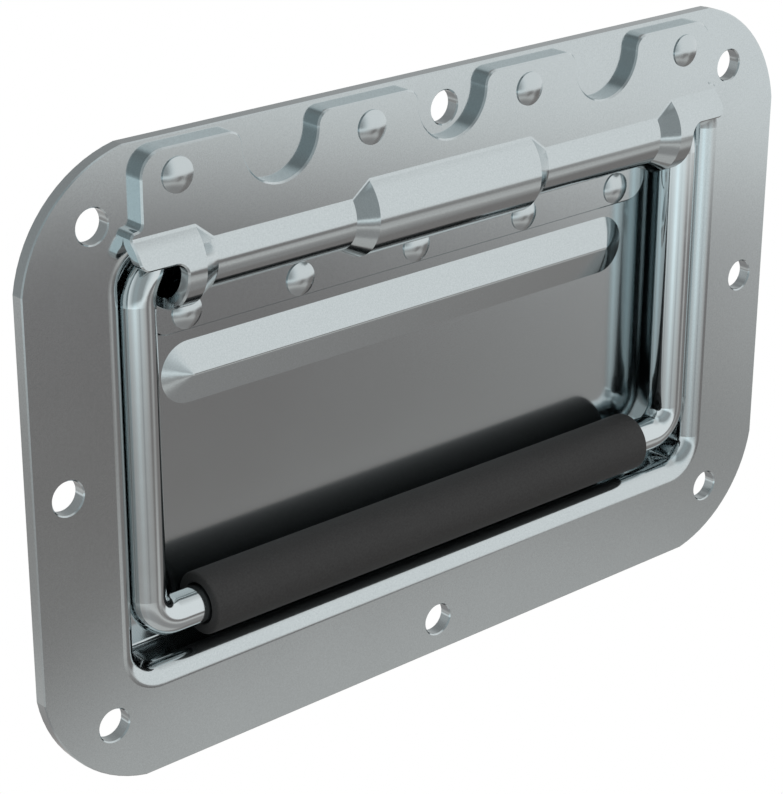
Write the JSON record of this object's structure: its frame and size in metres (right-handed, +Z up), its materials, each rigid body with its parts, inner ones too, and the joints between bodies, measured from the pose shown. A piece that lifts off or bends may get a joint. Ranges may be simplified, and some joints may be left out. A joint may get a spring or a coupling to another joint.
{
  "type": "recessed chest handle",
  "caption": "Recessed flush chest handle: pressed zinc-plated dish, riveted cover with hinge bead, and a spring-return bail with a soft grip.",
  "frame": {"origin": "middle of the flange's back face, which is also the middle of the corner screw pattern", "axes": "front faces -Y, +X to the right along the hinge, +Z up towards the hinge, pan reaches +Y"},
  "size_m": [0.1968, 0.02, 0.127],
  "materials": {
    "dish_steel": "bright zinc plate, satin mirror",
    "cover_steel": "bright zinc plate, satin mirror",
    "bail_steel": "bright zinc plate, polished rod",
    "rivet_steel": "bright zinc plate",
    "spring_steel": "bare spring wire",
    "grip_rubber": "matte charcoal, smooth"
  },
  "bodies": {
    "plate": {"recess_dish": "dish_steel", "cover_plate": "cover_steel", "upper_rivet_1": "rivet_steel", "upper_rivet_2": "rivet_steel", "upper_rivet_3": "rivet_steel", "upper_rivet_4": "rivet_steel", "lower_rivet_1": "rivet_steel", "lower_rivet_2": "rivet_steel", "lower_rivet_3": "rivet_steel", "lower_rivet_4": "rivet_steel", "lower_rivet_5": "rivet_steel", "return_spring_left": "spring_steel", "return_spring_right": "spring_steel"},
    "handle": {"handle_bail": "bail_steel", "grip_sleeve": "grip_rubber"}
  },
  "joints": [
    {"name": "bail_swing", "type": "hinge", "parent": "plate", "child": "handle", "pos_m": [0, 0.0009, 0.0383], "axis": [-1, 0, 0], "range_deg": [0, 76], "stiffness_Nm_per_rad": 0.15, "springref_deg": -68.75, "deforming": ["return_spring_left", "return_spring_right"]}
  ]
}
